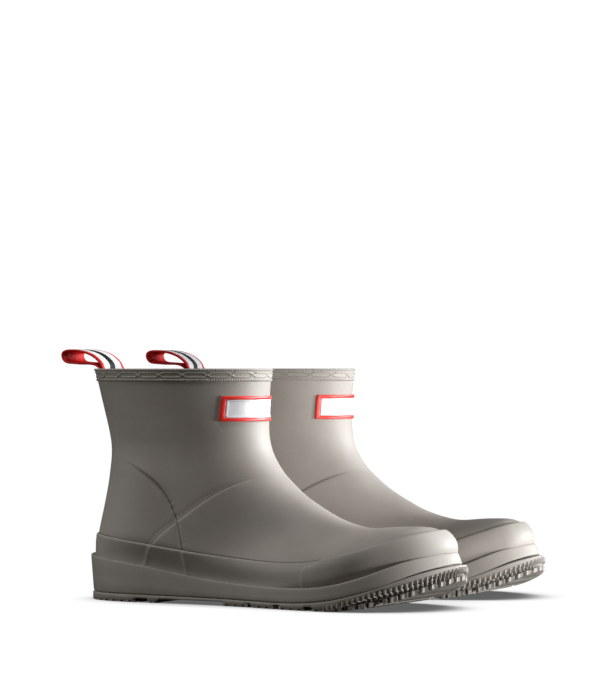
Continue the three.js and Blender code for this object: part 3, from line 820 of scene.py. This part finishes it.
def badge_piece(name, profile):
    """A profile carried round the badge, closed onto its middle line at both ends."""
    rows = [badge_loop(*profile[0], flat=True), *[badge_loop(*point) for point in profile],
            badge_loop(*profile[-1], flat=True)]
    return lofted(name, np.array(rows))


def vinyl(name, pale, dark, rough):
    """Injection-moulded PVC: a clean gloss with a little unevenness from the mould."""
    material, skin = new_material(name)
    place = add(material, "ShaderNodeTexCoord").outputs["Object"]
    cloud = add(material, "ShaderNodeTexNoise", {"Vector": place, "Scale": 220.0, "Detail": 3.0}).outputs["Fac"]
    link(material, shade_between(material, cloud, dark, pale), skin.inputs["Base Color"])
    link(material, ranged(material, cloud, 0.3, 0.7, rough - 0.05, rough + 0.06), skin.inputs["Roughness"])
    skin.inputs["IOR"].default_value = 1.53
    bump = add(material, "ShaderNodeBump", {"Height": cloud, "Strength": 0.1, "Distance": 0.0001})
    link(material, bump.outputs["Normal"], skin.inputs["Normal"])
    return material


red_vinyl = vinyl("moulded_red_pvc", "#ee2f26", "#e4261e", 0.4)
ride_both(pair(badge_piece("badge_bezel", FRAME_PROFILE), ["badge_frame"], red_vinyl))
white_vinyl = vinyl("moulded_white_pvc", "#dfe0e3", "#d4d5d8", 0.34)
ride_both(pair(badge_piece("badge_face", PLATE_PROFILE), ["badge_plate"], white_vinyl))


# ---------- webbing pull loop ----------
# One length of 28 mm polyester webbing, folded into a loop and sewn inside the back of the rim. Outside
# it is striped red, white, black, white and red, and its inner face is red.

STRAP_WIDTH, STRAP_THICK, SELVEDGE = 28.0, 1.5, 0.6
WHITE_HALF, BLACK_HALF = 11.0, 3.4      # from the middle to the edge of the white and the black stripes
CORD_PITCH, PICK_PITCH = 0.55, 0.45     # half the distance between warp cords and between weft picks
STEPS, FACE_POINTS = 150, 33            # along the strap, and across each face
LINING_RADIUS = 34
STRAP = [(-126.6, 139), (-129.1, 149), (-131.1, 157), (-130.4, 161.4), (-133.5, 165.8), (-140, 169.8),
         (-147, 171.8), (-155, 172.6), (-162.4, 170.2), (-161.2, 165.9), (-154.5, 163.9), (-146, 163.4),
         (-138, 163.1), (-133.4, 161), (-132.4, 157), (-130.4, 149), (-127.9, 139)]
path = drawn(STRAP, STEPS)
tangent = np.gradient(path, axis=0)
tangent /= np.linalg.norm(tangent, axis=1)[:, None]
sideways = np.stack([-tangent[:, 1], tangent[:, 0]], axis=-1)
path_run = np.append(0, np.cumsum(np.linalg.norm(np.diff(path, axis=0), axis=1)))
# Across the strap: along its outer face, round a selvedge, back along its inner face and round again.
flat_half = STRAP_WIDTH / 2 - SELVEDGE
edge_turn = np.linspace(0, np.pi, 7)[1:-1]
across_y = np.concatenate([
    np.linspace(-flat_half, flat_half, FACE_POINTS), flat_half + SELVEDGE * np.sin(edge_turn),
    np.linspace(flat_half, -flat_half, FACE_POINTS), -flat_half - SELVEDGE * np.sin(edge_turn)])
across_n = STRAP_THICK / 2 * np.concatenate([
    np.ones(FACE_POINTS), np.cos(edge_turn), -np.ones(FACE_POINTS), -np.cos(edge_turn)])
across_y, across_n = np.append(across_y, across_y[0]), np.append(across_n, across_n[0])
sewn = 1 - step(path[:, 1], 158, 162)
strap_points = np.zeros((STEPS + 2, len(across_y), 3))
for i in range(STEPS):
    thin = 1 - 0.25 * sewn[i]
    # Inside the rim the strap follows the lining round, so its edges come forward.
    curve_in = sewn[i] * (across_y ** 2) / (2 * LINING_RADIUS)
    strap_points[i + 1] = np.stack([path[i, 0] + sideways[i, 0] * across_n * thin + curve_in, across_y,
                                    path[i, 1] + sideways[i, 1] * across_n * thin], axis=-1)
strap_points[0], strap_points[-1] = strap_points[1].mean(axis=0), strap_points[-2].mean(axis=0)
strap_uv = np.zeros((STEPS + 2, len(across_y), 2))
strap_uv[..., 0] = across_y[None]
strap_uv[..., 1] = np.concatenate([[0], path_run, [path_run[-1]]])[:, None]
outer_face = np.repeat(np.where(across_n < 0, 1.0, 0.0)[None], STEPS + 2, axis=0)
strap = lofted("webbing_strap", strap_points, uv=strap_uv, marks={"outer_face": outer_face})

webbing, skin = new_material("woven_polyester_webbing")
# A flat weave with a soft lustre: warp cords run along it, 1.1 mm apart, crossed by a fine weft rib.
uv = add(webbing, "ShaderNodeSeparateXYZ", {"Vector": add(webbing, "ShaderNodeTexCoord").outputs["UV"]})
outer = add(webbing, "ShaderNodeAttribute", attribute_name="outer_face").outputs["Fac"]
from_centre = add(webbing, "ShaderNodeMath", {0: uv.outputs["X"]}, operation="ABSOLUTE").outputs["Value"]
red, white, black = linear("#dc1a1e"), linear("#f0eeee"), linear("#050406")
striped = red
for stripe_half, colour in ((WHITE_HALF, white), (BLACK_HALF, black)):
    within = add(webbing, "ShaderNodeMath", {0: from_centre, 1: stripe_half}, operation="LESS_THAN")
    striped = add(webbing, "ShaderNodeMix", {
        "Factor": within.outputs["Value"], "A": striped, "B": colour}, data_type="RGBA").outputs["Result"]
on_outside = add(webbing, "ShaderNodeMath", {0: outer, 1: 0.5}, operation="GREATER_THAN")
sides = add(webbing, "ShaderNodeMix", {
    "Factor": on_outside.outputs["Value"], "A": red, "B": striped}, data_type="RGBA")
cords = add(webbing, "ShaderNodeMath", {
    0: uv.outputs["X"], 1: CORD_PITCH}, operation="PINGPONG").outputs["Value"]
picks = add(webbing, "ShaderNodeMath", {
    0: uv.outputs["Y"], 1: PICK_PITCH}, operation="PINGPONG").outputs["Value"]
woven = add(webbing, "ShaderNodeMath", {0: cords, 1: picks}, operation="ADD").outputs["Value"]
threads = ranged(webbing, woven, 0.1, 0.9, 0.72, 1.0)
shaded = add(webbing, "ShaderNodeMix", {"Factor": 1.0, "A": sides.outputs["Result"], "B": threads},
             data_type="RGBA", blend_type="MULTIPLY")
link(webbing, shaded.outputs["Result"], skin.inputs["Base Color"])
skin.inputs["Roughness"].default_value = 0.6
skin.inputs["Specular IOR Level"].default_value = 0.2
bump = add(webbing, "ShaderNodeBump", {"Height": woven, "Strength": 0.7, "Distance": 0.0003})
link(webbing, bump.outputs["Normal"], skin.inputs["Normal"])
straps = pair(strap, ["pull_loop", "strap_ends"], webbing)
for side, copy in straps.items():
    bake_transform(copy)


# ---------- strap patch ----------
# A rectangle of the lining's knit sewn over the strap's ends, with a line of stitching just inside its
# edge.

PATCH_WIDTH, PATCH_LOW, PATCH_HIGH = 34.0, 133.0, 157.0
PATCH_TALL = PATCH_HIGH - PATCH_LOW
PATCH_DEPTH = WALL + 0.5 + LINING + 1.8 + 0.3
PATCH_EDGE, STITCHING = 0.8, 2.2        # the turned edge's height, and how far in the stitching runs
ACROSS, DOWN = 42, 30
patch_points = []
for v in np.linspace(0, 1, DOWN):
    row = []
    for u in np.linspace(-1, 1, ACROSS):
        edge_mm = min((1 - abs(u)) * PATCH_WIDTH / 2, v * PATCH_TALL, (1 - v) * PATCH_TALL)
        sunk = (PATCH_DEPTH + PATCH_EDGE * min(1.0, edge_mm / PATCH_EDGE)
                - 0.25 * math.exp(-((edge_mm - STITCHING) / 0.5) ** 2))
        y, z = u * PATCH_WIDTH / 2, PATCH_LOW + v * PATCH_TALL
        row.append(on_shaft(y, z, -sunk, end=-1))
    patch_points.append(row)
patch = lofted("knit_patch", np.array(patch_points), uv=np.stack(np.meshgrid(
    np.linspace(0, PATCH_WIDTH, ACROSS), np.linspace(0, PATCH_TALL, DOWN)), axis=-1))
patch.data.flip_normals()
solidify = patch.modifiers.new("thickness", "SOLIDIFY")
solidify.thickness, solidify.offset = 0.0006, -1
bpy.context.view_layer.objects.active = patch
bpy.ops.object.modifier_apply(modifier="thickness")
ride_both(pair(patch, ["strap_patch"], knit))


# ---------- studio ----------
# A seamless white floor under a white surround. A large soft key light stands behind the toes and edges
# the boots, and weaker softboxes fill the outer side, the vamp and the tread.

CAMERA_WHITE, ROOM_LIGHT = 1.02, 0.125
bpy.ops.mesh.primitive_plane_add(size=30)
floor = bpy.context.object
floor.name = "studio_floor"
# White paper that glows white to the camera, with a painted contact shadow where ambient occlusion dims the
# glow; to other rays it is dim diffuse paper that bounces little light.
paper, skin = new_material("lit_white_paper")
paper.node_tree.nodes.remove(skin)
open_sky = add(paper, "ShaderNodeAmbientOcclusion", {"Distance": 0.05}, samples=12).outputs["AO"]
# Painted contact shadow: the glow's strength falls from white to dim where the boots stand close over the
# floor.
glow = add(paper, "ShaderNodeEmission", {"Strength": ranged(paper, open_sky, 0.1, 0.88, 0.12, CAMERA_WHITE)})
dim = add(paper, "ShaderNodeBsdfDiffuse", {"Color": linear("#6c6660")})
seen = add(paper, "ShaderNodeMixShader", {
    0: add(paper, "ShaderNodeLightPath").outputs["Is Camera Ray"], 1: dim.outputs["BSDF"],
    2: glow.outputs["Emission"]})
link(paper, seen.outputs["Shader"], paper.node_tree.nodes["Material Output"].inputs["Surface"])
floor.data.materials.append(paper)

world = bpy.context.scene.world or bpy.data.worlds.new("studio")
bpy.context.scene.world = world
world.use_nodes = True
# It is plain white to the camera, and dim and slightly warm as a light.
background = world.node_tree.nodes["Background"]
seen = add(world, "ShaderNodeLightPath").outputs["Is Camera Ray"]
tint = add(world, "ShaderNodeMix", {
    "Factor": seen, "A": (1.0, 0.94, 0.88, 1), "B": (1, 1, 1, 1)}, data_type="RGBA")
strength = add(world, "ShaderNodeMapRange", {"Value": seen, "To Min": ROOM_LIGHT, "To Max": CAMERA_WHITE})
link(world, tint.outputs["Result"], background.inputs["Color"])
link(world, strength.outputs["Result"], background.inputs["Strength"])

boot_pieces = {"": None}
for boot in ("right", "left"):
    boot_pieces[boot] = bpy.data.collections.new(boot + "_boot_pieces")
    for piece in bpy.data.objects:
        if piece.name.startswith(boot + "_") and piece.type == "MESH":
            boot_pieces[boot].objects.link(piece)
centre = Vector((0, 0, 0.07))
# Each light: name, place, width, height, watts, and the one boot that it lights, if it is kept to one.
for name, spot, width, height, power, boot in (
        ("key_softbox", (1.6, 1.75, 0.7), 1.3, 1.1, 110, "right"),
        ("key_softbox_dimmed", (1.6, 1.75, 0.7), 1.3, 1.1, 74, "left"),
        ("camera_left_fill", (-2.4, -1.2, 0.8), 1.2, 1.2, 20, ""),
        ("high_front_softbox", (1.3, 0.6, 2.0), 0.9, 0.9, 8, ""),
        ("vamp_softbox", (0.1, -0.45, 1.1), 0.35, 0.25, 4, "right"),
        ("tread_kicker", (1.2, 0.32, 0.04), 0.5, 0.08, 16, ""),
        ("far_boot_fill", (0.6, -0.28, 0.04), 0.15, 0.08, 2.0, "left")):
    bpy.ops.object.light_add(type="AREA", location=spot)
    lamp = bpy.context.object
    lamp.name = name
    lamp.rotation_euler = (centre - Vector(spot)).to_track_quat("-Z", "Y").to_euler()
    lamp.data.shape, lamp.data.energy = "RECTANGLE", power
    lamp.data.size, lamp.data.size_y = width, height
    if name.startswith("key"):
        lamp.data.color = (0.93, 0.965, 1.0)
    lamp.light_linking.receiver_collection = boot_pieces[boot]

bpy.context.scene.view_settings.view_transform = "Standard"
bpy.ops.object.select_all(action="DESELECT")
